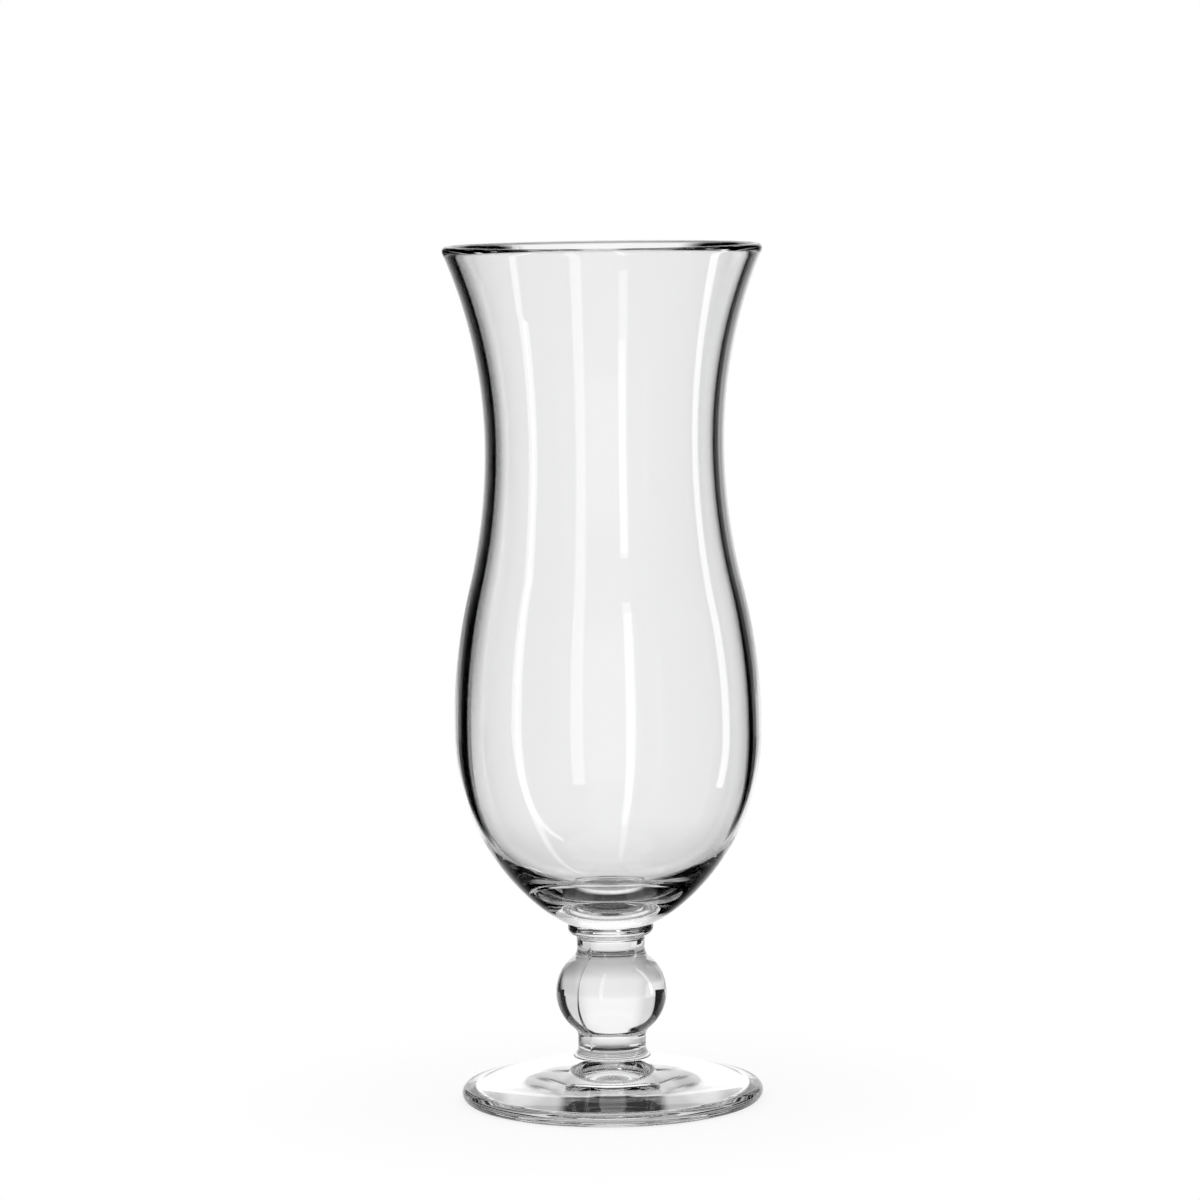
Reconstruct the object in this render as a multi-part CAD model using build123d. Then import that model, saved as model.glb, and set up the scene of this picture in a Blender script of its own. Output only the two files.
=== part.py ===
from build123d import *
from math import atan2, cos, degrees, radians, sin, sqrt, tan
import os

# A hurricane glass of clear glass: a blown bowl, a collar, a stem with a ball knop and a pressed foot.
# Each piece is turned about the axis and fused to the next one on a flat face.
# Millimetres, +Z up, with the origin on the axis at the surface that the foot stands on.

# Foot
foot_radius = 36.4
foot_edge_round = 1.85     # radius of the fully rounded edge
foot_slope = 15.2          # degrees that the upper face rises towards the stem
foot_flare = 2.3           # fillet that turns the upper face up into the stem
resting_ring = 2.5         # width of the flat ring that touches the table
hollow_depth = 4.6         # depth of the dome inside that ring

# Stem
neck_radius = 8.2
lower_neck = 2.5           # straight length below the knop
upper_neck = 2.0           # straight length above the knop
knop_swell = 5.15          # how far the ball stands out from the neck
knop_curve = 10.9          # radius of the ball's outline
knop_fillet = 3.0          # fillet between the ball and each neck

# Collar
collar_overhang = 2.1      # how far the collar stands out from the neck
collar_sweep = 3.0         # height of the double curve from the neck to the band
collar_band = 1.1          # height of the straight band under the bowl

# Bowl
waist_radius = 28.65
bulge_swell = 8.25         # how far the bulge stands out from the waist
rim_flare = 9.5            # how far the rim stands out from the waist
cup_height = 47.5          # from the collar up to the bulge
swell_height = 67.8        # from the bulge up to the waist
flare_height = 47.8        # from the waist up to the rim
waist_share = 0.5          # part of the swell height that curves with the waist, the rest with the bulge
cup_angle = 22.6           # degrees that the cup rises above level where it leaves the collar
cup_run = 7.1              # how long the cup keeps to that angle, as the length of a curve handle
cup_round = 29.3           # how long it keeps upright below the bulge, as the length of a curve handle
base_thickness = 6.6       # glass below the inside of the cup, on the axis
floor_spread = 0.74        # reach of the floor's curve handle, as a part of the inner radius of the bulge
bulge_wall = 3.0
waist_wall = 2.7
rim_wall = 2.4             # the rim is fully rounded

# Curve handle with which the inside leaves the bulge as a quarter of an ellipse does, for a radius of 1.
ELLIPSE_HANDLE = 4 / 3 * (sqrt(2) - 1)


def turned(outline):
    """Solid of revolution of a closed outline of (radius, height) edges about the axis."""
    return revolve(Plane.XZ * make_face(outline), Axis.Z)


def double_curve(inner_radius, inner_height, outer_radius, outer_height, inner_share=0.5):
    """Two tangent arcs, upright at both ends, from a narrow ring to a wide ring of an outline.

    With a step D between the radii and a height H between the ends, the two arc radii add up to
    (D * D + H * H) / (2 * D), and each arc takes its share of the height.
    """
    step = outer_radius - inner_radius
    rise = outer_height - inner_height
    both_radii = (step * step + rise * rise) / (2 * step)
    inner_arc = both_radii * inner_share
    outer_arc = both_radii - inner_arc
    turn = degrees(atan2(rise, both_radii - step))
    narrow = CenterArc((inner_radius + inner_arc, inner_height), inner_arc, 180, -turn)
    wide = CenterArc((outer_radius - outer_arc, outer_height), outer_arc, -turn, turn)
    return [narrow, wide]


def foot():
    """Pressed disc: rounded edge, conical upper face, flare up to the stem, hollow with a resting ring."""
    edge_axis = foot_radius - foot_edge_round
    slope = radians(foot_slope)
    shoulder = (edge_axis + foot_edge_round * sin(slope), foot_edge_round * (1 + cos(slope)))
    flare_axis = neck_radius + foot_flare
    flare_height_above = foot_flare / cos(slope)
    stem_joint = shoulder[1] + (shoulder[0] - flare_axis) * tan(slope) + flare_height_above
    flare_end = (flare_axis - foot_flare * sin(slope), stem_joint - foot_flare * cos(slope))
    hollow_radius = edge_axis - resting_ring
    outline = [
        ThreePointArc(
            (0, hollow_depth),
            dome_point(hollow_radius / 2, hollow_radius),
            (hollow_radius, 0),
        ),
        Line((hollow_radius, 0), (edge_axis, 0)),
        CenterArc((edge_axis, foot_edge_round), foot_edge_round, -90, 180 - foot_slope),
        Line(shoulder, flare_end),
        CenterArc((flare_axis, stem_joint), foot_flare, 180, 90 - foot_slope),
        Line((neck_radius, stem_joint), (0, stem_joint)),
        Line((0, stem_joint), (0, hollow_depth)),
    ]
    return turned(outline), stem_joint


def dome_point(radius, rim_radius):
    """Point of the hollow's spherical dome at a radius, where the dome meets z = 0 at the rim radius."""
    sphere = (rim_radius * rim_radius + hollow_depth * hollow_depth) / (2 * hollow_depth)
    return (radius, hollow_depth - sphere + sqrt(sphere * sphere - radius * radius))


def knop_stem(base):
    """Pressed solid stem: a ball knop with a fillet down to a straight neck at each end."""
    ball_axis = neck_radius + knop_swell - knop_curve
    fillet_axis = neck_radius + knop_fillet
    half_height = sqrt((knop_curve + knop_fillet) ** 2 - (fillet_axis - ball_axis) ** 2)
    turn = degrees(atan2(half_height, fillet_axis - ball_axis))
    ball_base = base + lower_neck
    middle = ball_base + half_height
    ball_top = middle + half_height
    top = ball_top + upper_neck
    outline = [
        Line((0, base), (neck_radius, base)),
        Line((neck_radius, base), (neck_radius, ball_base)),
        CenterArc((fillet_axis, ball_base), knop_fillet, 180, -turn),
        CenterArc((ball_axis, middle), knop_curve, -turn, 2 * turn),
        CenterArc((fillet_axis, ball_top), knop_fillet, 180 + turn, -turn),
        Line((neck_radius, ball_top), (neck_radius, top)),
        Line((neck_radius, top), (0, top)),
        Line((0, top), (0, base)),
    ]
    return turned(outline), top


def collar(base):
    """Ring between stem and bowl: a double curve out from the neck and a straight band."""
    band_radius = neck_radius + collar_overhang
    band_base = base + collar_sweep
    top = band_base + collar_band
    outline = [
        Line((0, base), (neck_radius, base)),
        *double_curve(neck_radius, base, band_radius, band_base),
        Line((band_radius, band_base), (band_radius, top)),
        Line((band_radius, top), (0, top)),
        Line((0, top), (0, base)),
    ]
    return turned(outline), top


def wall_side(base, narrowing, rim_side):
    """One side of the bowl's wall, from the bulge up to the rim.

    narrowing is how far the side lies inside the outside of the glass, as (bulge, waist).
    rim_side is +1 for the side whose flare touches the rim's round from outside, -1 for the inside.
    Returned are the point at the bulge, the double curve, the flare, the centre of the rim's round
    and the degrees that the flare turns.
    """
    bulge = (waist_radius + bulge_swell - narrowing[0], base + cup_height)
    waist = (waist_radius - narrowing[1], bulge[1] + swell_height)
    rim_round = rim_wall / 2
    rim_axis = (waist_radius + rim_flare - rim_round, waist[1] + flare_height - rim_round)
    reach = rim_axis[0] - waist[0]
    rise = rim_axis[1] - waist[1]
    flare = (reach * reach + rise * rise - rim_round * rim_round) / (2 * (reach + rim_side * rim_round))
    turn = degrees(atan2(rise, flare - reach))
    swell = double_curve(waist[0], waist[1], bulge[0], bulge[1], waist_share)
    flared = CenterArc((waist[0] + flare, waist[1]), flare, 180, -turn)
    return bulge, swell, flared, rim_axis, turn


def bowl(base):
    """Blown vessel: rounded rim, flared mouth, waist, bulge and a cup with a thick base."""
    foot_of_cup = neck_radius + collar_overhang
    bulge, swell, flare, rim_axis, turn = wall_side(base, (0, 0), 1)
    hollow, inner_swell, inner_flare, _, inner_turn = wall_side(base, (bulge_wall, waist_wall), -1)
    # Outside, the cup is one curve from the collar's edge to the bulge, where it is upright.
    rise = radians(cup_angle)
    cup = Bezier(
        (foot_of_cup, base),
        (foot_of_cup + cup_run * cos(rise), base + cup_run * sin(rise)),
        (bulge[0], bulge[1] - cup_round),
        bulge,
    )
    # Inside, it is a bowl with a broad floor, level on the axis and upright at the bulge.
    floor = base + base_thickness
    inner_cup = Bezier(
        (0, floor),
        (floor_spread * hollow[0], floor),
        (hollow[0], hollow[1] - ELLIPSE_HANDLE * (hollow[1] - floor)),
        hollow,
    )
    outline = [
        Line((0, base), (foot_of_cup, base)),
        cup,
        *swell,
        flare,
        CenterArc(rim_axis, rim_wall / 2, -turn, 180 + turn - inner_turn),
        inner_flare,
        *inner_swell,
        inner_cup,
        Line((0, floor), (0, base)),
    ]
    return turned(outline)


foot_solid, stem_base = foot()
stem_solid, collar_base = knop_stem(stem_base)
collar_solid, bowl_base = collar(collar_base)
bowl_solid = bowl(bowl_base)

os.makedirs("parts", exist_ok=True)
pieces = {"foot": foot_solid, "knop_stem": stem_solid, "collar": collar_solid, "bowl": bowl_solid}
for name, solid in pieces.items():
    export_step(solid, f"parts/{name}.step")
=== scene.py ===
from math import atan2, cos, radians, sin, sqrt

import bpy
import numpy as np
from bpy.props import FloatProperty, FloatVectorProperty, IntProperty, PointerProperty
from mathutils import Matrix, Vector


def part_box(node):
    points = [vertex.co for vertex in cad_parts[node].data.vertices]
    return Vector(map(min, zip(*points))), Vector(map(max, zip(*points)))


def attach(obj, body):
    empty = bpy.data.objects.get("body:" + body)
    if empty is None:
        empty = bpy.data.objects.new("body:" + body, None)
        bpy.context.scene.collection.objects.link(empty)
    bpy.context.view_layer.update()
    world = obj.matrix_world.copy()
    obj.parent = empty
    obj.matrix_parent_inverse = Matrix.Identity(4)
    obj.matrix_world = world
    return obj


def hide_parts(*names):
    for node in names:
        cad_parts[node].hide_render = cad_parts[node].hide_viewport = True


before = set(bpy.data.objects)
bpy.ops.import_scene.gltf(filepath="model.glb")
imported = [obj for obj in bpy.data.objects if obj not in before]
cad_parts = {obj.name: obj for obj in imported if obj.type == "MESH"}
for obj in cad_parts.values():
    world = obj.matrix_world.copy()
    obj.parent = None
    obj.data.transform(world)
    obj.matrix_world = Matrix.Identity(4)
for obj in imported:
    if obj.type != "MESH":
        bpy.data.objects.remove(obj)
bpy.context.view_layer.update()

bl_info = {
    "name": "Hurricane glass",
    "version": (1, 0, 0),
    "blender": (4, 5, 0),
    "location": "View3D > Sidebar > Hurricane glass",
    "description": "Builds a clear hurricane glass, piece by piece, on its CAD frame and in a white studio",
    "category": "Add Mesh",
}

# Curve handle with which a quarter of an ellipse leaves its end, for a radius of 1
ELLIPSE_HANDLE = 4 / 3 * (sqrt(2) - 1)

# Mesh: degrees beyond which an edge is sharp, points across a seam, half widths that they reach to each side,
# and the digits after which two angles count as one
SHARP_EDGE = 35
SEAM_POINTS = 21
SEAM_REACH = 3
ANGLE_DIGITS = 6

# Scuffs on the resting ring: where they fade out, as parts of its height and radius, and which noise shows
SCUFF_LOW = 0.3
SCUFF_OUT = 1.02
SCUFF_NOISE = (0.45, 0.75)


def level_of(node, end):
    """Height of a CAD node's underside (end 0) or top (end 1)."""
    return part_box(node)[end].z


def reach_of(node):
    """Largest radius of a CAD node."""
    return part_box(node)[1].x


# Properties

def length(name, description, default):
    """A length, given in metres."""
    return FloatProperty(name=name, description=description, default=default,
                         unit="LENGTH", min=0, precision=5)


def level_place(name, description, default):
    """A place on the floor, given as X and Y in metres."""
    return FloatVectorProperty(name=name, description=description, default=default,
                               size=2, subtype="XYZ", unit="LENGTH")


def angle(name, description, default):
    """An angle, given in degrees."""
    return FloatProperty(name=name, description=description, default=radians(default), subtype="ANGLE")


def amount(name, description, default):
    """A plain number."""
    return FloatProperty(name=name, description=description, default=default, min=0, precision=4)


def count(name, description, default):
    """A whole number."""
    return IntProperty(name=name, description=description, default=default, min=8)


class BowlSizes(bpy.types.PropertyGroup):
    rim_radius: length("Rim radius", "Outside of the rim", reach_of("bowl"))
    waist_radius: length("Waist radius", "Outside of the waist", 0.02865)
    bulge_radius: length("Bulge radius", "Outside of the bulge", 0.0369)
    base_radius: length("Base radius", "Edge of the face that is fused to the collar", reach_of("collar"))
    cup_height: length("Cup height", "From the collar up to the bulge", 0.0475)
    swell_height: length("Swell height", "From the bulge up to the waist", 0.0678)
    waist_share: amount("Waist share", "Part of the swell that curves with the waist", 0.5)
    cup_angle: angle("Cup angle", "Rise of the cup where it leaves the collar", 22.6)
    cup_run: length("Cup run", "Curve handle at the collar", 0.0071)
    cup_round: length("Cup round", "Curve handle below the bulge", 0.0293)
    base_thickness: length("Base thickness", "Glass below the inside of the cup", 0.0066)
    floor_spread: amount("Floor spread", "Curve handle of the inner floor, as a part of its radius", 0.74)
    bulge_wall: length("Wall at the bulge", "Thickness of the wall", 0.0030)
    waist_wall: length("Wall at the waist", "Thickness of the wall", 0.0027)
    rim_wall: length("Wall at the rim", "Thickness of the rounded rim", 0.0024)
    around: count("Segments around", "Points round the axis", 240)


class CollarSizes(bpy.types.PropertyGroup):
    neck_radius: length("Neck radius", "Where the collar meets the stem", 0.0082)
    sweep: length("Sweep", "Height of the double curve", 0.0030)


class StemSizes(bpy.types.PropertyGroup):
    neck_radius: length("Neck radius", "Straight necks below and above the ball", 0.0082)
    lower_neck: length("Lower neck", "Straight length below the ball", 0.0025)
    upper_neck: length("Upper neck", "Straight length above the ball", 0.0020)
    knop_radius: length("Ball radius", "Widest part of the ball", reach_of("knop_stem"))
    knop_curve: length("Ball curve", "Radius of the ball's outline", 0.0109)
    knop_fillet: length("Fillet", "Between the ball and each neck", 0.0030)
    seam_height: length("Seam height", "How far the mould seam stands out", 0.0004)
    seam_width: length("Seam width", "Half width of the mould seam", 0.00025)
    seam_fade: length("Seam fade", "How far from each end of the stem the seam has its full height", 0.005)
    seam_heading: angle("Seam heading", "From the X axis to one mould seam, the other is opposite", 233.0)
    around: count("Segments around", "Points round the axis between the seams", 168)


class FootSizes(bpy.types.PropertyGroup):
    radius: length("Radius", "Outside of the foot", reach_of("foot"))
    edge_round: length("Edge round", "Radius of the rounded edge", 0.00185)
    slope: angle("Slope", "Rise of the upper face", 15.2)
    flare: length("Flare", "Fillet up into the stem", 0.0023)
    neck_radius: length("Neck radius", "Where the foot meets the stem", 0.0082)
    resting_ring: length("Resting ring", "Width of the flat ring", 0.0025)
    hollow_depth: length("Hollow depth", "Depth of the hollow underneath", 0.0046)
    worn_height: length("Worn height", "How far up the resting ring is scuffed", 0.0004)
    around: count("Segments around", "Points round the axis", 240)


class GlassFinish(bpy.types.PropertyGroup):
    ior: amount("IOR", "Index of refraction of soda-lime glass", 1.52)
    tint: FloatVectorProperty(name="Tint", description="Colour that the glass lets through",
                              default=(0.991, 0.993, 0.992), subtype="COLOR", min=0, max=1)
    ripple_size: length("Ripple size", "Length of the faint waves left by the tools", 0.014)
    ripple_height: length("Ripple height", "Height of those waves", 0.000004)
    wear: amount("Wear", "Roughness of the scuffed resting ring", 0.22)
    scuff_size: length("Scuff size", "Size of the scuffs on the resting ring", 0.0009)


class StageSettings(bpy.types.PropertyGroup):
    camera_distance: length("Camera distance", "From the axis of the glass", 1.1418)
    camera_height: length("Camera height", "Above the floor", 0.2362)
    camera_aside: length("Camera aside", "How far the camera stands to the left", 0.00153)
    camera_pitch: angle("Camera pitch", "How far the camera looks down", 5.76)
    camera_roll: angle("Camera roll", "Turn of the camera about its view", 0.75)
    camera_lens: amount("Camera lens", "Focal length in millimetres", 143.7)
    camera_sensor: amount("Camera sensor", "Width of the sensor in millimetres", 36.0)
    floor_radius: length("Floor radius", "White floor round the glass", 0.112)
    table_radius: length("Table radius", "Table that shows through the glass alone", 0.9)
    floor_shadow: amount("Floor shadow", "Part of the floor's colour that light and shadow make", 0.2)
    flag_left: level_place("Left flag", "X and Y of the left black film's edge", (-0.057, 0.093))
    flag_right: level_place("Right flag", "X and Y of the right black film's edge", (0.067, 0.079))
    flag_soft: length("Flag softness", "How far the black films fade on each side of their edge", 0.017)
    flag_base: length("Flag base", "Height of the black films' lower edge", 0.010)
    flag_top: length("Flag top", "Height of the black films' upper edge", 0.3)
    flag_reach: length("Flag reach", "How far the black films go to the left and the right", 0.26)
    slat_lean: angle("Slat lean", "Rise of the normal of the film's slats", 50.8)
    room_light: amount("Room light", "Brightness of the room on the camera's side", 0.3)
    strip_near: level_place("Near strip", "X and Y of the strip light near the camera", (-0.065, -0.170))
    strip_right: level_place("Right strip", "X and Y of the strip light at the right", (0.180, 0.0))
    strip_near_width: length("Near strip width", "Half width of the near strip light", 0.017)
    strip_right_width: length("Right strip width", "Half width of the right strip light", 0.015)
    strip_base: length("Strip base", "Height of the strip lights' lower end", 0.0145)
    strip_top: length("Strip top", "Height of the strip lights' upper end", 0.36)
    strip_near_light: amount("Near strip light", "Brightness of the near strip light", 2.3)
    strip_right_light: amount("Right strip light", "Brightness of the right strip light", 3.6)
    bounces: count("Bounces", "How often light may turn, enough to be led down the bowl's wall", 96)
    clear_bounces: count("Clear bounces", "How often light may pass a clear surface", 64)


class HurricaneGlass(bpy.types.PropertyGroup):
    bowl: PointerProperty(type=BowlSizes)
    collar: PointerProperty(type=CollarSizes)
    stem: PointerProperty(type=StemSizes)
    foot: PointerProperty(type=FootSizes)
    finish: PointerProperty(type=GlassFinish)
    stage: PointerProperty(type=StageSettings)


# Outlines, as rows of (radius, height)

def arc(centre, radius, start, turn, steps):
    """Arc of a circle: centre + radius * (cos a, sin a), with a going evenly from start through turn."""
    a = start + turn * np.linspace(0, 1, steps)
    return np.column_stack([centre[0] + radius * np.cos(a), centre[1] + radius * np.sin(a)])


def straight(start, end, steps):
    """Straight line: start + t * (end - start), with t going evenly from 0 to 1."""
    t = np.linspace(0, 1, steps)[:, None]
    return np.asarray(start) + t * (np.asarray(end) - np.asarray(start))


def cubic(start, leave, arrive, end, steps):
    """Cubic curve: (1-t)^3 start + 3(1-t)^2 t leave + 3(1-t) t^2 arrive + t^3 end, with t from 0 to 1."""
    t = np.linspace(0, 1, steps)[:, None]
    points = np.array([start, leave, arrive, end])
    return (1 - t) ** 3 * points[0] + 3 * (1 - t) ** 2 * t * points[1] \
        + 3 * (1 - t) * t ** 2 * points[2] + t ** 3 * points[3]


def double_curve(narrow, wide, share, steps):
    """Two tangent arcs, upright at both ends, from a narrow point to a wide point of an outline.

    With a step D between the radii and a height H between the ends, the arc radii add up to
    (D*D + H*H) / (2*D), each arc turns by atan2(H, sum - D), and each takes its share of the height.
    """
    step = wide[0] - narrow[0]
    rise = wide[1] - narrow[1]
    both = (step * step + rise * rise) / (2 * step)
    inner = both * share
    outer = both - inner
    turn = atan2(rise, both - step)
    first = arc((narrow[0] + inner, narrow[1]), inner, np.pi, -turn, steps)
    second = arc((wide[0] - outer, wide[1]), outer, -turn, turn, steps)
    return joined(first, second)


def joined(*runs):
    """Runs of an outline one after the other, with the point that two neighbours share kept once."""
    return np.concatenate([runs[0]] + [run[1:] for run in runs[1:]])


def bowl_outline(b, base, top):
    """The bowl from its base on the axis, up the outside, over the rim and down the inside to the axis."""
    bulge = (b.bulge_radius, base + b.cup_height)
    waist = (b.waist_radius, bulge[1] + b.swell_height)
    hollow = (bulge[0] - b.bulge_wall, bulge[1])
    throat = (waist[0] - b.waist_wall, waist[1])
    lip = b.rim_wall / 2
    rim = (b.rim_radius - lip, top - lip)
    cup = cubic((b.base_radius, base),
                (b.base_radius + b.cup_run * cos(b.cup_angle), base + b.cup_run * sin(b.cup_angle)),
                (bulge[0], bulge[1] - b.cup_round), bulge, steps=70)
    swell = double_curve(waist, bulge, b.waist_share, steps=32)[::-1]
    flare, turn = flare_arc(waist, rim, lip, 1, steps=52)
    inside_flare, inside_turn = flare_arc(throat, rim, lip, -1, steps=52)
    edge = arc(rim, lip, -turn, np.pi + turn - inside_turn, steps=30)
    inside_swell = double_curve(throat, hollow, b.waist_share, steps=32)
    floor = base + b.base_thickness
    inside_cup = cubic(hollow, (hollow[0], hollow[1] - ELLIPSE_HANDLE * (hollow[1] - floor)),
                       (b.floor_spread * hollow[0], floor), (0, floor), steps=80)
    underside = straight((0, base), (b.base_radius, base), steps=2)
    return joined(underside, cup, swell, flare, edge, inside_flare[::-1], inside_swell, inside_cup)


def flare_arc(waist, rim, lip, side, steps):
    """Arc of a circle from upright at the waist to where it touches the rim's round, and the angle it turns.

    With the reach and rise from the waist to the rim's middle, its radius is
    (reach^2 + rise^2 - lip^2) / (2 * (reach + side * lip)), with side +1 outside and -1 inside.
    """
    reach = rim[0] - waist[0]
    rise = rim[1] - waist[1]
    radius = (reach * reach + rise * rise - lip * lip) / (2 * (reach + side * lip))
    turn = atan2(rise, radius - reach)
    return arc((waist[0] + radius, waist[1]), radius, np.pi, -turn, steps), turn


def collar_outline(c, base, top, band_radius):
    """The collar from its underside on the axis: out to the neck, double curve, band, back to the axis."""
    sweep = double_curve((c.neck_radius, base), (band_radius, base + c.sweep), share=0.5, steps=16)
    return joined(
        straight((0, base), sweep[0], steps=2),
        sweep,
        straight(sweep[-1], (band_radius, top), steps=8),
        straight((band_radius, top), (0, top), steps=2),
    )


def stem_outline(s, base, top):
    """The stem from its underside on the axis: neck, fillet, ball, fillet, neck, back to the axis."""
    ball = s.knop_radius - s.knop_curve
    side = s.neck_radius + s.knop_fillet
    half = sqrt((s.knop_curve + s.knop_fillet) ** 2 - (side - ball) ** 2)
    turn = atan2(half, side - ball)
    low = base + s.lower_neck
    middle = low + half
    high = middle + half
    neck = s.neck_radius
    return joined(
        straight((0, base), (neck, base), steps=2),
        straight((neck, base), (neck, low), steps=10),
        arc((side, low), s.knop_fillet, np.pi, -turn, steps=20),
        arc((ball, middle), s.knop_curve, -turn, 2 * turn, steps=90),
        arc((side, high), s.knop_fillet, np.pi + turn, -turn, steps=20),
        straight((neck, high), (neck, top), steps=8),
        straight((neck, top), (0, top), steps=2),
    )


def foot_outline(f, top):
    """The foot from the top of its hollow on the axis: dome, resting ring, round edge, slope, flare, axis."""
    edge = f.radius - f.edge_round
    hollow = edge - f.resting_ring
    flare = f.neck_radius + f.flare
    sphere = (hollow * hollow + f.hollow_depth ** 2) / (2 * f.hollow_depth)
    dome_turn = atan2(hollow, sphere - f.hollow_depth)
    slope_end = (flare - f.flare * sin(f.slope), top - f.flare * cos(f.slope))
    round_edge = arc((edge, f.edge_round), f.edge_round, -np.pi / 2, np.pi - f.slope, steps=40)
    return joined(
        arc((0, f.hollow_depth - sphere), sphere, np.pi / 2, -dome_turn, steps=40),
        straight((hollow, 0), (edge, 0), steps=8),
        round_edge,
        straight(round_edge[-1], slope_end, steps=50),
        arc((flare, top), f.flare, 3 * np.pi / 2 - f.slope, f.slope - np.pi / 2, steps=24),
        straight((f.neck_radius, top), (0, top), steps=2),
    )


# Surfaces

def even_angles(around):
    """Angles round the axis, evenly spaced and starting on the X axis."""
    return 2 * np.pi * np.arange(around) / around


def seam_angles(around, heading, half_width):
    """Even angles with closer ones across two opposite seams, so that the seams come out smooth."""
    close = np.linspace(-SEAM_REACH * half_width, SEAM_REACH * half_width, SEAM_POINTS)
    packed = np.concatenate([even_angles(around), heading + close, heading + np.pi + close])
    return np.unique(np.round(np.mod(packed, 2 * np.pi), ANGLE_DIGITS))


def seam_ridge(outline, angles, heading, height, width, fade):
    """Two opposite mould seams: height * exp(-(radius * a / width)^2) at the angle a from the nearer seam.

    fade goes from 0 to 1 along the outline, so that a seam can die away.
    """
    away = np.mod(angles - heading + np.pi / 2, np.pi) - np.pi / 2
    arc_length = outline[:, :1] * away[None, :]
    return height * np.exp(-(arc_length / width) ** 2) * fade[:, None]


def lathe(name, outline, angles, materials, ridge=0.0, fused=()):
    """Closed surface of revolution: (r_i cos a_j, r_i sin a_j, z_i) over the outline's rows and the angles.

    The outline starts and ends on the axis, so its ends are single points, and ridge is added to the radius.
    fused names the ends, 0 for the first and 1 for the last, whose flat disc touches the next piece.
    """
    rows = outline[1:-1]
    radius = rows[:, :1] + (ridge[1:-1] if np.ndim(ridge) else ridge)
    height = np.broadcast_to(rows[:, 1:], (len(rows), len(angles)))
    grid = np.stack([radius * np.cos(angles), radius * np.sin(angles), height], axis=-1).reshape(-1, 3)
    poles = np.array([[0, 0, outline[0, 1]], [0, 0, outline[-1, 1]]])
    n, m = len(rows), len(angles)
    first = np.arange(n * m).reshape(n, m)
    second = np.roll(first, -1, axis=1)
    quads = np.stack([first[:-1], second[:-1], second[1:], first[1:]], axis=-1).reshape(-1, 4)
    low = np.stack([np.full(m, n * m), second[0], first[0]], axis=-1)
    high = np.stack([first[-1], second[-1], np.full(m, n * m + 1)], axis=-1)
    faces = quads.tolist() + low.tolist() + high.tolist()
    mesh = bpy.data.meshes.new(name)
    mesh.from_pydata(np.concatenate([grid, poles]).tolist(), [], faces)
    index = np.zeros(len(faces), dtype=np.int32)
    index[len(quads):len(quads) + m] = 0 in fused
    index[len(quads) + m:] = 1 in fused
    for material in materials:
        mesh.materials.append(material)
    mesh.polygons.foreach_set("material_index", index)
    mesh.polygons.foreach_set("use_smooth", np.ones(len(index), dtype=bool))
    mesh.set_sharp_from_angle(angle=radians(SHARP_EDGE))
    mesh.validate()
    piece = bpy.data.objects.new(name, mesh)
    bpy.context.scene.collection.objects.link(piece)
    return piece


def place(piece, node):
    """Hands a piece to the frame: it rides on the one body, and its CAD node is hidden."""
    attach(piece, "root")
    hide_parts(node)


# Materials

def feed(tree, socket, value):
    """Links a socket to an input, or sets the input to a constant."""
    if isinstance(value, bpy.types.NodeSocket):
        tree.links.new(value, socket)
    else:
        socket.default_value = value


def maths(tree, operation, *values):
    """A Math node's result."""
    node = tree.nodes.new("ShaderNodeMath")
    node.operation = operation
    for socket, value in zip(node.inputs, values):
        feed(tree, socket, value)
    return node.outputs[0]


def product(tree, *values):
    """The values multiplied together."""
    result = values[0]
    for value in values[1:]:
        result = maths(tree, "MULTIPLY", result, value)
    return result


def largest(tree, *values):
    """The largest of the values."""
    result = values[0]
    for value in values[1:]:
        result = maths(tree, "MAXIMUM", result, value)
    return result


def inverse(tree, value):
    """1 minus a value."""
    return maths(tree, "SUBTRACT", 1, value)


def blend(tree, factor, first, second):
    """A number that goes from the first value to the second as the factor goes from 0 to 1."""
    node = tree.nodes.new("ShaderNodeMix")
    feed(tree, node.inputs["Factor"], factor)
    feed(tree, node.inputs["A"], first)
    feed(tree, node.inputs["B"], second)
    return node.outputs["Result"]


def rise_between(tree, value, low, high):
    """A smooth step from 0 at low to 1 at high."""
    node = tree.nodes.new("ShaderNodeMapRange")
    node.interpolation_type = "SMOOTHSTEP"
    feed(tree, node.inputs["Value"], value)
    feed(tree, node.inputs["From Min"], low)
    feed(tree, node.inputs["From Max"], high)
    return node.outputs[0]


def place_on(tree):
    """The place on an object, which is also the place in the frame, because every object is at the origin."""
    return tree.nodes.new("ShaderNodeTexCoord").outputs["Object"]


def parts_of(tree, vector):
    """X, Y and Z of a vector."""
    split = tree.nodes.new("ShaderNodeSeparateXYZ")
    tree.links.new(vector, split.inputs[0])
    return split.outputs[0], split.outputs[1], split.outputs[2]


def level_parts(tree, vector):
    """Length and direction of a vector's level part."""
    level = tree.nodes.new("ShaderNodeVectorMath")
    level.operation = "MULTIPLY"
    tree.links.new(vector, level.inputs[0])
    level.inputs[1].default_value = (1, 1, 0)
    far = tree.nodes.new("ShaderNodeVectorMath")
    far.operation = "LENGTH"
    tree.links.new(level.outputs[0], far.inputs[0])
    unit = tree.nodes.new("ShaderNodeVectorMath")
    unit.operation = "NORMALIZE"
    tree.links.new(level.outputs[0], unit.inputs[0])
    return far.outputs["Value"], unit.outputs[0]


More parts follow.
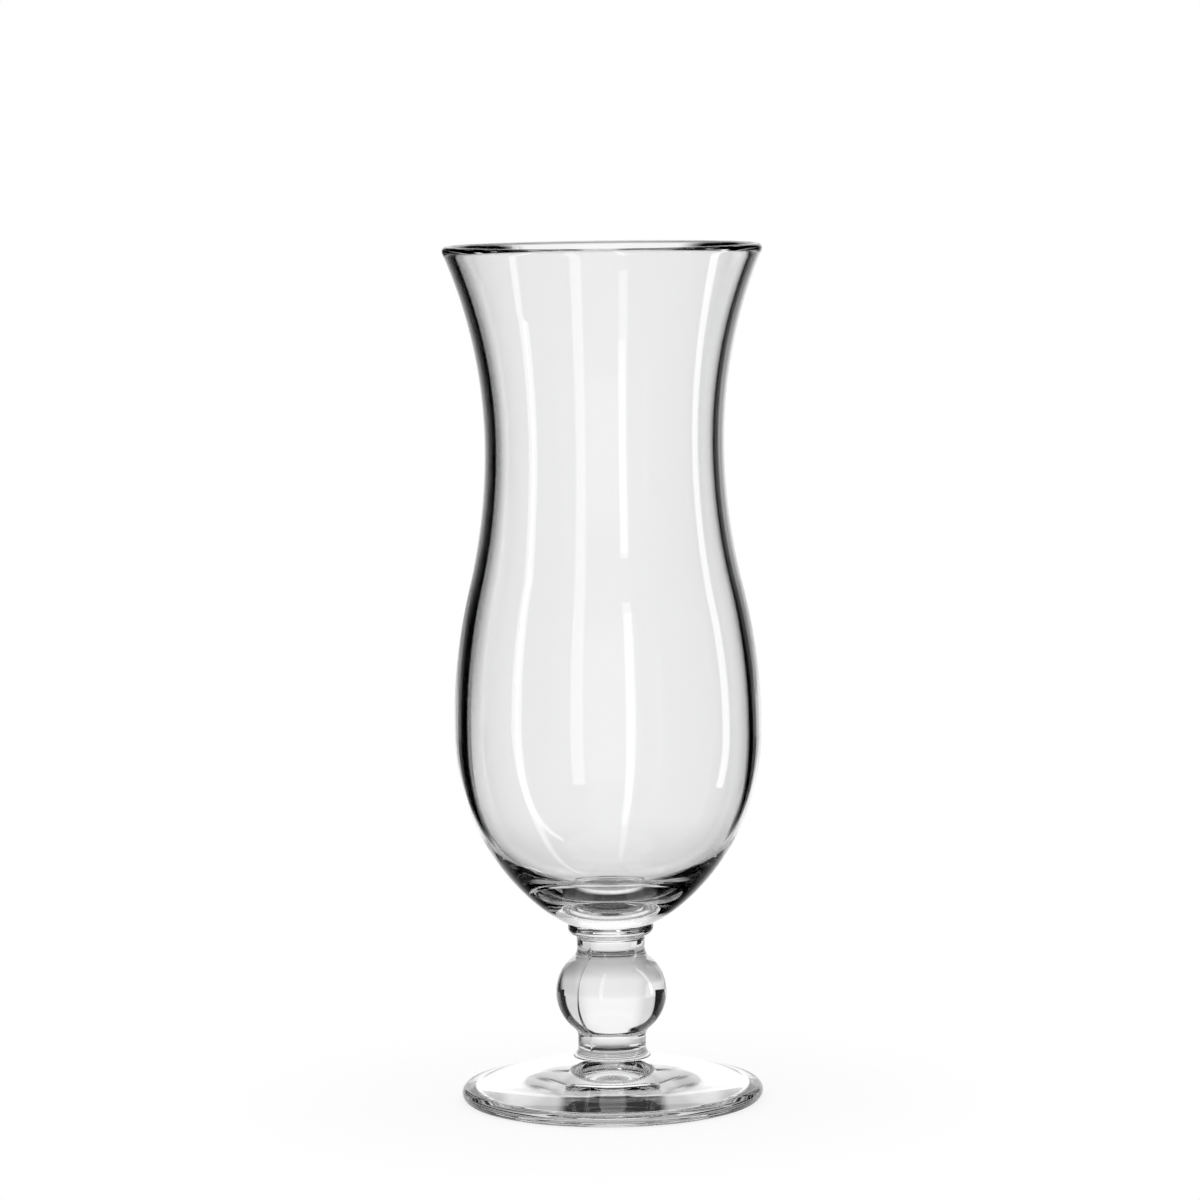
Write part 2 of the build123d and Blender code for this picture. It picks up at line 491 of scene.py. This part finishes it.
def noise(tree, position, size, detail):
    """Smooth noise with waves of a given size."""
    node = tree.nodes.new("ShaderNodeTexNoise")
    feed(tree, node.inputs["Vector"], position)
    node.inputs["Scale"].default_value = 1 / size
    node.inputs["Detail"].default_value = detail
    return node.outputs["Fac"]


def new_tree(name):
    """An empty material and its node tree."""
    material = bpy.data.materials.new(name)
    material.use_nodes = True
    material.node_tree.nodes.clear()
    return material, material.node_tree


def finish_with(tree, shader):
    """Links a shader to the material's surface."""
    output = tree.nodes.new("ShaderNodeOutputMaterial")
    tree.links.new(shader, output.inputs["Surface"])


def mixed(tree, factor, first, second):
    """Finishes a material with the first shader where the factor is 0 and the second where it is 1."""
    mix = tree.nodes.new("ShaderNodeMixShader")
    feed(tree, mix.inputs[0], factor)
    tree.links.new(first.outputs[0], mix.inputs[1])
    tree.links.new(second.outputs[0], mix.inputs[2])
    finish_with(tree, mix.outputs[0])


def glass(name, finish, ripple_scale, worn=None):
    """Clear glass with faint tool waves. worn is (height, radius) below and beyond which it is scuffed."""
    material, tree = new_tree(name)
    place_of = place_on(tree)
    shader = tree.nodes.new("ShaderNodeBsdfPrincipled")
    shader.inputs["Base Color"].default_value = (*finish.tint, 1)
    shader.inputs["Transmission Weight"].default_value = 1
    shader.inputs["IOR"].default_value = finish.ior
    shader.inputs["Roughness"].default_value = 0
    waves = tree.nodes.new("ShaderNodeBump")
    waves.inputs["Strength"].default_value = 1
    waves.inputs["Distance"].default_value = finish.ripple_height
    ripple = noise(tree, place_of, finish.ripple_size * ripple_scale, detail=1)
    tree.links.new(ripple, waves.inputs["Height"])
    tree.links.new(waves.outputs["Normal"], shader.inputs["Normal"])
    if worn:
        height, radius = worn
        low = rise_between(tree, parts_of(tree, place_of)[2], height, height * SCUFF_LOW)
        ring = rise_between(tree, level_parts(tree, place_of)[0], radius, radius * SCUFF_OUT)
        scuffs = rise_between(tree, noise(tree, place_of, finish.scuff_size, detail=3), *SCUFF_NOISE)
        tree.links.new(product(tree, low, ring, scuffs, finish.wear), shader.inputs["Roughness"])
    finish_with(tree, shader.outputs["BSDF"])
    return material


def fused_seam(name):
    """The face where two pieces are melted together, which light passes as if it weren't there."""
    material, tree = new_tree(name)
    finish_with(tree, tree.nodes.new("ShaderNodeBsdfTransparent").outputs["BSDF"])
    return material


# Operators

class GLASS_OT_bowl(bpy.types.Operator):
    """Blow the bowl: cup, bulge, waist, flared mouth and rounded rim"""
    bl_idname = "hurricane.bowl"
    bl_label = "Bowl"

    def execute(self, context):
        settings = context.scene.hurricane_glass
        outline = bowl_outline(settings.bowl, level_of("bowl", 0), level_of("bowl", 1))
        materials = [glass("Blown glass", settings.finish, ripple_scale=1.0), fused_seam("Bowl seam")]
        piece = lathe("Bowl", outline, even_angles(settings.bowl.around), materials, fused=(0,))
        place(piece, "bowl")
        return {"FINISHED"}


class GLASS_OT_collar(bpy.types.Operator):
    """Make the collar between the stem and the bowl"""
    bl_idname = "hurricane.collar"
    bl_label = "Collar"

    def execute(self, context):
        settings = context.scene.hurricane_glass
        low, high = level_of("collar", 0), level_of("collar", 1)
        outline = collar_outline(settings.collar, low, high, reach_of("collar"))
        materials = [glass("Collar glass", settings.finish, ripple_scale=0.6), fused_seam("Collar seam")]
        piece = lathe("Collar", outline, even_angles(settings.stem.around), materials, fused=(0, 1))
        place(piece, "collar")
        return {"FINISHED"}


class GLASS_OT_stem(bpy.types.Operator):
    """Press the stem: two necks and a ball, with a fine mould seam on each side"""
    bl_idname = "hurricane.stem"
    bl_label = "Stem"

    def execute(self, context):
        settings = context.scene.hurricane_glass
        stem = settings.stem
        low, high = level_of("knop_stem", 0), level_of("knop_stem", 1)
        outline = stem_outline(stem, low, high)
        angles = seam_angles(stem.around, stem.seam_heading, stem.seam_width / stem.neck_radius)
        fade = np.clip(np.minimum(outline[:, 1] - low, high - outline[:, 1]) / stem.seam_fade, 0, 1)
        ridge = seam_ridge(outline, angles, stem.seam_heading, stem.seam_height, stem.seam_width, fade)
        materials = [glass("Stem glass", settings.finish, ripple_scale=0.6), fused_seam("Stem seam")]
        piece = lathe("Stem", outline, angles, materials, ridge, fused=(0, 1))
        place(piece, "knop_stem")
        return {"FINISHED"}


class GLASS_OT_foot(bpy.types.Operator):
    """Press the foot: round edge, sloped upper face and a domed hollow inside the resting ring"""
    bl_idname = "hurricane.foot"
    bl_label = "Foot"

    def execute(self, context):
        settings = context.scene.hurricane_glass
        foot = settings.foot
        outline = foot_outline(foot, level_of("foot", 1))
        worn = (foot.worn_height, foot.radius - foot.edge_round - foot.resting_ring)
        foot_glass = glass("Foot glass", settings.finish, ripple_scale=0.8, worn=worn)
        materials = [foot_glass, fused_seam("Foot seam")]
        piece = lathe("Foot", outline, even_angles(foot.around), materials, fused=(1,))
        place(piece, "foot")
        return {"FINISHED"}


class GLASS_OT_stage(bpy.types.Operator):
    """Set the stage: white floor, table, studio light, black films, strip lights and camera"""
    bl_idname = "hurricane.stage"
    bl_label = "Stage"

    def execute(self, context):
        scene = context.scene
        stage = scene.hurricane_glass.stage
        set_floor(stage)
        set_table(stage)
        set_light(scene, stage)
        set_flags(stage)
        set_strips(stage)
        set_camera(scene, stage)
        scene.view_settings.view_transform = "Standard"
        scene.cycles.max_bounces = stage.bounces
        scene.cycles.transmission_bounces = stage.bounces
        scene.cycles.glossy_bounces = stage.bounces
        scene.cycles.transparent_max_bounces = stage.clear_bounces
        return {"FINISHED"}


# Stage

# Floor and table
STAGE_SEGMENTS = 96
FLOOR_RINGS = 11
FLOOR_DROP = 0.00002
TABLE_DROP = 0.00003
PAPER_WHITE = 0.9
SHADOW_PART = 0.45

# Places on the table, in metres, as where a tone starts to change and where the change ends
FOOT_EDGE = (0.0345, 0.0335)
STEM_SIDE = (0.0105, 0.0135)
FOOT_SIDE = (0.0235, 0.0275)
STEM_SHADE_SIDE = (0.006, 0.003)
STEM_SHADE_START = (0.008, 0.011)
REAR_HALF = (-0.004, 0)
SHADOW_END = (0.04, 0.09)
SHADOW_FADE = (0.1, 0.5)
RIM_SHADOW_REACH = (0.2, 0.28)
SIDE_START = (0.036, 0.05)
SIDE_END = (0.07, 0.12)

# Tones of the table, with the glass's painted shadow and painted light patches in them
STEM_SHADOW_TONE = 0.04
PAINTED_LIGHT_BESIDE_STEM = 0.56
PAINTED_SHADE_TO_EDGE = 0.42
REAR_TONE = 0.9
SHADOW_TONE = 0.45
SHADOW_END_TONE = 0.42
SHADOW_FADE_TONE = 0.13
RIM_SHADE = 0.65
SIDE_START_TONE = 0.5
SIDE_END_TONE = 0.4

# Sectors, as a heading in degrees from +Y towards +X, and degrees to each side that are in and out
TABLE_BEHIND = (0, 75, 80)
TABLE_BESIDE = (135, 40, 45)
SIDE_LEFT = (-45, 16, 30)
SIDE_RIGHT = (135, 22, 40)
PANEL_MIDDLE = (0, 12, 30)
PANEL_WINGS = (4, 40, 56)
MIRROR_SECTOR = (0, 20, 27)
NOT_ROOM = (0, 150, 166)
LEFT_PANEL = (-90, 18, 34)
LOW_PANEL = (135, 18, 34)

# Elevations in degrees, as where a light starts and where it is full
PANEL_FOOT = (-38, -11)
MIRROR_TOP = (2, -2)
OVERHEAD = (58.5, 62)
ROOM_FOOT = (-26, -16)
LEFT_PANEL_TOP = (6, 3.5)
LEFT_PANEL_FOOT = (-14, -10.5)
LOW_PANEL_TOP = (-2, -6)
LOW_PANEL_FOOT = (-30, -24)

# The oval panel behind the glass: half width and height in degrees, its edge, and its brightness
PANEL_HALF_WIDTH = 47
PANEL_HEIGHT = 36.5
PANEL_EDGE = (1.04, 0.9)
MIDDLE_LIGHT = 0.25
WING_LIGHT = 0.75
MIRROR_LIFT = 0.25
MIRROR_DROP = 0.75
OVERHEAD_LIGHT = 0.95

# Black films: how far their hard edges stand outside the soft ones, and heights and widths in metres, also of
# the painted shade on the base
HARD_LEFT = 0.012
HARD_RIGHT = 0.006
HARD_TO_SOFT = (0.06, 0.12)
SOLID_HEIGHT = (0.064, 0.070)
SOLID_SIDE = (0.020, 0.028)
BASE_LOW = (0.045, 0.055)
BASE_HIGH = (0.13, 0.10)

# Layer Weight: the blend at which Facing is 1 minus the cosine, and the ranges of it that pass
COSINE_BLEND = 0.5
ALONG_SLATS = (0.76, 0.84)
STEEP = (0.79, 0.47)

# Strip lights: part of the half width that is at full light
STRIP_CORE = 0.6


def stage_piece(name, vertices, faces, material, unseen_by):
    """Adds an object to the scene that some kinds of ray don't see."""
    mesh = bpy.data.meshes.new(name)
    mesh.from_pydata(vertices, [], faces)
    mesh.materials.append(material)
    piece = bpy.data.objects.new(name, mesh)
    piece.visible_camera = "camera" not in unseen_by
    piece.visible_diffuse = "diffuse" not in unseen_by
    piece.visible_glossy = "glossy" not in unseen_by
    piece.visible_transmission = "transmission" not in unseen_by
    piece.visible_shadow = "shadow" not in unseen_by
    bpy.context.scene.collection.objects.link(piece)


def set_floor(stage):
    """White disc: part diffuse for the shadow, the rest white light, all white at its edge."""
    around = even_angles(STAGE_SEGMENTS)
    rings = np.linspace(0, stage.floor_radius, FLOOR_RINGS + 1)[1:, None]
    level = np.full((FLOOR_RINGS, STAGE_SEGMENTS), -FLOOR_DROP)
    grid = np.stack([rings * np.cos(around), rings * np.sin(around), level], axis=-1).reshape(-1, 3)
    first = np.arange(len(grid)).reshape(FLOOR_RINGS, STAGE_SEGMENTS)
    second = np.roll(first, -1, axis=1)
    quads = np.stack([first[:-1], first[1:], second[1:], second[:-1]], axis=-1).reshape(-1, 4)
    fan = np.stack([np.full(STAGE_SEGMENTS, len(grid)), first[0], second[0]], axis=-1)
    vertices = np.concatenate([grid, [[0, 0, -FLOOR_DROP]]]).tolist()
    faces = quads.tolist() + fan.tolist()
    material, tree = new_tree("Floor")
    paper = tree.nodes.new("ShaderNodeBsdfDiffuse")
    paper.inputs["Color"].default_value = (PAPER_WHITE, PAPER_WHITE, PAPER_WHITE, 1)
    light = tree.nodes.new("ShaderNodeEmission")
    far = level_parts(tree, place_on(tree))[0]
    inside = rise_between(tree, far, stage.floor_radius, stage.floor_radius * SHADOW_PART)
    mixed(tree, product(tree, inside, stage.floor_shadow), light, paper)
    stage_piece("Floor", vertices, faces, material, unseen_by=("glossy", "transmission"))


def set_table(stage):
    """The pale table as the glass sees it: a glowing disc with the glass's shadow painted dark on it and
    painted light where panels stand beyond.
    """
    around = even_angles(STAGE_SEGMENTS)
    reach = stage.table_radius
    level = np.full(STAGE_SEGMENTS, -TABLE_DROP)
    ring = np.stack([reach * np.cos(around), reach * np.sin(around), level], axis=-1)
    material, tree = new_tree("Table")
    place_of = place_on(tree)
    far, heading_of = level_parts(tree, place_of)
    path = tree.nodes.new("ShaderNodeLightPath")
    at_foot = rise_between(tree, far, *FOOT_EDGE)
    outside = painted_tone_round_foot(tree, path, far, heading_of)
    light = tree.nodes.new("ShaderNodeEmission")
    # Painted light and shade: the table glows, with the glass's shadow and light patches painted into its
    # brightness
    feed(tree, light.inputs["Strength"], blend(tree, at_foot, outside, painted_tone_under_foot(tree, place_of, far)))
    beside = product(tree, straight_through(tree, path), sector(tree, heading_of, *TABLE_BESIDE))
    seen = largest(tree, at_foot, sector(tree, heading_of, *TABLE_BEHIND), beside)
    mixed(tree, seen, tree.nodes.new("ShaderNodeBsdfTransparent"), light)
    stage_piece("Table", ring.tolist(), [list(range(STAGE_SEGMENTS))], material,
                unseen_by=("camera", "diffuse", "glossy", "shadow"))


def painted_tone_under_foot(tree, place_of, far):
    """Brightness below the foot, with painted light and shade: the stem's painted shadow in front of it,
    painted light beside it, painted shade towards the foot's edge, and light behind it with painted shade
    under the stem.
    """
    x, y, _ = parts_of(tree, place_of)
    aside = maths(tree, "ABSOLUTE", x)
    # Painted shadow of the stem in front, painted light beside it and painted shade towards the foot's edge
    painted_light_beside_stem = product(tree, rise_between(tree, aside, *STEM_SIDE), PAINTED_LIGHT_BESIDE_STEM)
    painted_shade_to_edge = product(tree, rise_between(tree, aside, *FOOT_SIDE), PAINTED_SHADE_TO_EDGE)
    front = maths(tree, "ADD", STEM_SHADOW_TONE, maths(tree, "SUBTRACT", painted_light_beside_stem, painted_shade_to_edge))
    # Painted shade under the stem in the rear half
    painted_stem_shade = product(tree, rise_between(tree, aside, *STEM_SHADE_SIDE),
                         rise_between(tree, y, *STEM_SHADE_START))
    rear = product(tree, rise_between(tree, y, *REAR_HALF), rise_between(tree, far, *STEM_SIDE),
                   maths(tree, "SUBTRACT", REAR_TONE, painted_stem_shade))
    return largest(tree, front, rear)


def painted_tone_round_foot(tree, path, far, heading_of):
    """Brightness beyond the foot: the panel's, with the glass's shadow and a shade for rays out of the rim
    painted in, and two painted light patches at the sides.
    """
    # Painted shadow of the glass, lighter further from the axis
    shadow_end = product(tree, rise_between(tree, far, *SHADOW_END), SHADOW_END_TONE)
    shadow_fade = product(tree, rise_between(tree, far, *SHADOW_FADE), SHADOW_FADE_TONE)
    shadow = maths(tree, "ADD", maths(tree, "ADD", SHADOW_TONE, shadow_end), shadow_fade)
    # Painted shade for steep rays that passed one thickness of glass, out of the rim
    steep = tree.nodes.new("ShaderNodeLayerWeight")
    steep.inputs["Blend"].default_value = COSINE_BLEND
    painted_rim_shade = product(tree, through_solid(tree, path), rise_between(tree, far, *RIM_SHADOW_REACH),
                     rise_between(tree, steep.outputs["Facing"], *STEEP))
    behind = product(tree, panel(tree, heading_of), shadow, inverse(tree, product(tree, painted_rim_shade, RIM_SHADE)))
    # Two painted light patches at the sides, seen only straight through the glass
    side_start = product(tree, rise_between(tree, far, *SIDE_START), SIDE_START_TONE)
    side_end = product(tree, rise_between(tree, far, *SIDE_END), SIDE_END_TONE)
    sides = largest(tree, sector(tree, heading_of, *SIDE_LEFT), sector(tree, heading_of, *SIDE_RIGHT))
    beside = product(tree, straight_through(tree, path), sides, maths(tree, "ADD", side_start, side_end))
    return largest(tree, behind, beside)


def sector(tree, heading_of, heading, inner, outer):
    """1 within inner degrees of a heading, in degrees from +Y towards +X, and 0 beyond outer degrees."""
    dot = tree.nodes.new("ShaderNodeVectorMath")
    dot.operation = "DOT_PRODUCT"
    tree.links.new(heading_of, dot.inputs[0])
    dot.inputs[1].default_value = (sin(radians(heading)), cos(radians(heading)), 0)
    return rise_between(tree, dot.outputs["Value"], cos(radians(outer)), cos(radians(inner)))


def above(tree, height, low, high):
    """1 above high degrees of elevation and 0 below low, or the other way round where high is the lower."""
    return rise_between(tree, height, sin(radians(low)), sin(radians(high)))


def panel(tree, heading_of):
    """Brightness of the white panel behind the glass: a bright middle and wider, dimmer wings."""
    middle = product(tree, sector(tree, heading_of, *PANEL_MIDDLE), MIDDLE_LIGHT)
    wings = product(tree, sector(tree, heading_of, *PANEL_WINGS), WING_LIGHT)
    return maths(tree, "ADD", middle, wings)


def straight_through(tree, path):
    """1 for a ray that was only refracted on its way through the glass."""
    return product(tree, path.outputs["Is Transmission Ray"], unmirrored(tree, path))


def unmirrored(tree, path):
    """1 for a ray that no surface has mirrored."""
    return maths(tree, "LESS_THAN", path.outputs["Glossy Depth"], 0.5)


def mirrored(tree, path, fewest, most):
    """1 for a ray that was mirrored from fewest to most times."""
    middle = (fewest + most) / 2
    return maths(tree, "COMPARE", path.outputs["Glossy Depth"], middle, middle - fewest + 0.5)


def through_solid(tree, path):
    """1 for a ray that was refracted twice, into and out of one thickness of glass."""
    return maths(tree, "COMPARE", path.outputs["Transmission Depth"], 2, 0.5)


def studio_look(tree, stage, path):
    """What the glass sees round it: white panels, a grey room on the camera's side and dark between."""
    look = tree.nodes.new("ShaderNodeTexCoord").outputs["Generated"]
    x, _, height = parts_of(tree, look)
    heading_of = level_parts(tree, look)[1]
    across = maths(tree, "DIVIDE", x, sin(radians(PANEL_HALF_WIDTH)))
    upward = maths(tree, "DIVIDE", maths(tree, "MAXIMUM", height, 0), sin(radians(PANEL_HEIGHT)))
    oval = maths(tree, "ADD", product(tree, across, across), product(tree, upward, upward))
    drop = product(tree, sector(tree, heading_of, *MIRROR_SECTOR), above(tree, height, *MIRROR_TOP),
                   MIRROR_DROP)
    change = product(tree, through_solid(tree, path), mirrored(tree, path, 1, 3),
                     maths(tree, "SUBTRACT", MIRROR_LIFT, drop))
    tone = maths(tree, "ADD", panel(tree, heading_of), change)
    back = product(tree, tone, rise_between(tree, oval, *PANEL_EDGE), above(tree, height, *PANEL_FOOT))
    over = product(tree, above(tree, height, *OVERHEAD), OVERHEAD_LIGHT)
    room = product(tree, inverse(tree, sector(tree, heading_of, *NOT_ROOM)), stage.room_light,
                   above(tree, height, *ROOM_FOOT))
    left = product(tree, sector(tree, heading_of, *LEFT_PANEL), above(tree, height, *LEFT_PANEL_TOP),
                   above(tree, height, *LEFT_PANEL_FOOT))
    low = product(tree, sector(tree, heading_of, *LOW_PANEL), above(tree, height, *LOW_PANEL_TOP),
                  above(tree, height, *LOW_PANEL_FOOT))
    others = product(tree, largest(tree, left, low), straight_through(tree, path))
    return largest(tree, back, over, room, others)


def set_light(scene, stage):
    """White for the camera, even light for the floor, the studio for what is seen in or through the glass."""
    world = bpy.data.worlds.new("Studio")
    world.use_nodes = True
    scene.world = world
    tree = world.node_tree
    tree.nodes.clear()
    path = tree.nodes.new("ShaderNodeLightPath")
    in_glass = largest(tree, path.outputs["Is Glossy Ray"], path.outputs["Is Transmission Ray"])
    unseen = blend(tree, in_glass, 1 / PAPER_WHITE, studio_look(tree, stage, path))
    light = tree.nodes.new("ShaderNodeBackground")
    light.inputs["Color"].default_value = (1, 1, 1, 1)
    feed(tree, light.inputs["Strength"], blend(tree, path.outputs["Is Camera Ray"], unseen, 1.0))
    output = tree.nodes.new("ShaderNodeOutputWorld")
    tree.links.new(light.outputs[0], output.inputs["Surface"])


def set_flags(stage):
    """Two sheets of black louvre film behind the glass, left and right, that only the glass sees."""
    film = louvre_film(stage)
    low, high = stage.flag_base, stage.flag_top
    sheets = (
        ("Flag left", stage.flag_left[1], -stage.flag_reach),
        ("Flag right", stage.flag_right[1], stage.flag_reach),
    )
    for name, y, end in sheets:
        corners = [(0, y, low), (end, y, low), (end, y, high), (0, y, high)]
        stage_piece(name, corners, [(0, 1, 2, 3)], film, unseen_by=("camera", "diffuse", "shadow"))


def louvre_film(stage):
    """Film that is black beyond the flags' edges, and that paints shade on the thick base: black for light
    that the base bends or mirrors inside.

    Its slats fall away from the glass, so light that goes down along them passes all the same. The edges are
    hard low down, for the ball, and soft higher up, for the bowl.
    """
    material, tree = new_tree("Flag")
    x, _, z = parts_of(tree, place_on(tree))
    path = tree.nodes.new("ShaderNodeLightPath")
    slat = tree.nodes.new("ShaderNodeNormal").outputs["Normal"]
    slat.default_value = (0, cos(stage.slat_lean), sin(stage.slat_lean))
    across = tree.nodes.new("ShaderNodeLayerWeight")
    across.inputs["Blend"].default_value = COSINE_BLEND
    tree.links.new(slat, across.inputs["Normal"])
    along = rise_between(tree, across.outputs["Facing"], *ALONG_SLATS)
    left, right, soft = stage.flag_left[0], stage.flag_right[0], stage.flag_soft
    hard_edge = largest(tree, maths(tree, "LESS_THAN", x, left - HARD_LEFT),
                        maths(tree, "GREATER_THAN", x, right + HARD_RIGHT))
    soft_edge = largest(tree, rise_between(tree, x, left + soft, left - soft),
                        rise_between(tree, x, right - soft, right + soft))
    edge = blend(tree, rise_between(tree, z, *HARD_TO_SOFT), hard_edge, soft_edge)
    # Painted shade on the base: black for light bent once through it or mirrored inside it four to six times
    painted_base_shade = product(tree, through_solid(tree, path), unmirrored(tree, path),
                   rise_between(tree, z, *SOLID_HEIGHT),
                   rise_between(tree, maths(tree, "ABSOLUTE", x), *SOLID_SIDE))
    painted_trapped_shade = product(tree, mirrored(tree, path, 4, 6), rise_between(tree, z, *BASE_LOW),
                      rise_between(tree, z, *BASE_HIGH))
    black = tree.nodes.new("ShaderNodeEmission")
    black.inputs["Strength"].default_value = 0
    cover = product(tree, largest(tree, edge, painted_base_shade, painted_trapped_shade), inverse(tree, along))
    mixed(tree, cover, tree.nodes.new("ShaderNodeBsdfTransparent"), black)
    return material


def set_strips(stage):
    """Two soft strip lights that stand on the camera's side and show as streaks in the glass alone."""
    strips = (
        ("Strip near", stage.strip_near, stage.strip_near_width, stage.strip_near_light),
        ("Strip right", stage.strip_right, stage.strip_right_width, stage.strip_right_light),
    )
    for name, (x, y), width, brightness in strips:
        aside = np.array([-y, x, 0]) / sqrt(x * x + y * y)
        low = np.array([x, y, stage.strip_base])
        high = np.array([x, y, stage.strip_top])
        half = width * aside
        corners = np.array([low - half, low + half, high + half, high - half]).tolist()
        material = strip_light(name, aside, width, brightness)
        stage_piece(name, corners, [(0, 1, 2, 3)], material, unseen_by=("camera", "diffuse", "shadow"))


def strip_light(name, aside, width, brightness):
    """Light that fades to clear at the strip's sides, and that isn't seen straight through the glass."""
    material, tree = new_tree(name)
    path = tree.nodes.new("ShaderNodeLightPath")
    across = tree.nodes.new("ShaderNodeVectorMath")
    across.operation = "DOT_PRODUCT"
    tree.links.new(place_on(tree), across.inputs[0])
    across.inputs[1].default_value = aside
    soft = rise_between(tree, maths(tree, "ABSOLUTE", across.outputs["Value"]), width, width * STRIP_CORE)
    hidden = largest(tree, straight_through(tree, path), through_solid(tree, path))
    light = tree.nodes.new("ShaderNodeEmission")
    light.inputs["Strength"].default_value = brightness
    clear = tree.nodes.new("ShaderNodeBsdfTransparent")
    mixed(tree, product(tree, soft, inverse(tree, hidden)), clear, light)
    return material


def set_camera(scene, stage):
    """Camera on the -Y side, looking along +Y and a little down."""
    data = bpy.data.cameras.new("Camera")
    data.lens = stage.camera_lens
    data.sensor_width = stage.camera_sensor
    camera = bpy.data.objects.new("Camera", data)
    scene.collection.objects.link(camera)
    stand = Matrix.Translation((-stage.camera_aside, -stage.camera_distance, stage.camera_height))
    pitch = Matrix.Rotation(radians(90) - stage.camera_pitch, 4, "X")
    camera.matrix_world = stand @ pitch @ Matrix.Rotation(-stage.camera_roll, 4, "Z")
    scene.camera = camera


# Sidebar and registration

class GLASS_PT_sidebar(bpy.types.Panel):
    bl_idname = "GLASS_PT_sidebar"
    bl_label = "Hurricane glass"
    bl_space_type = "VIEW_3D"
    bl_region_type = "UI"
    bl_category = "Hurricane glass"

    def draw(self, context):
        for operator in OPERATORS:
            self.layout.operator(operator.bl_idname)


OPERATORS = (GLASS_OT_bowl, GLASS_OT_collar, GLASS_OT_stem, GLASS_OT_foot, GLASS_OT_stage)
GROUPS = (BowlSizes, CollarSizes, StemSizes, FootSizes, GlassFinish, StageSettings, HurricaneGlass)
CLASSES = GROUPS + OPERATORS + (GLASS_PT_sidebar,)


def register():
    for cls in CLASSES:
        bpy.utils.register_class(cls)
    bpy.types.Scene.hurricane_glass = PointerProperty(type=HurricaneGlass)


def unregister():
    del bpy.types.Scene.hurricane_glass
    for cls in reversed(CLASSES):
        bpy.utils.unregister_class(cls)


def main():
    register()
    bpy.ops.hurricane.bowl()
    bpy.ops.hurricane.collar()
    bpy.ops.hurricane.stem()
    bpy.ops.hurricane.foot()
    bpy.ops.hurricane.stage()


if __name__ == "__main__":
    main()
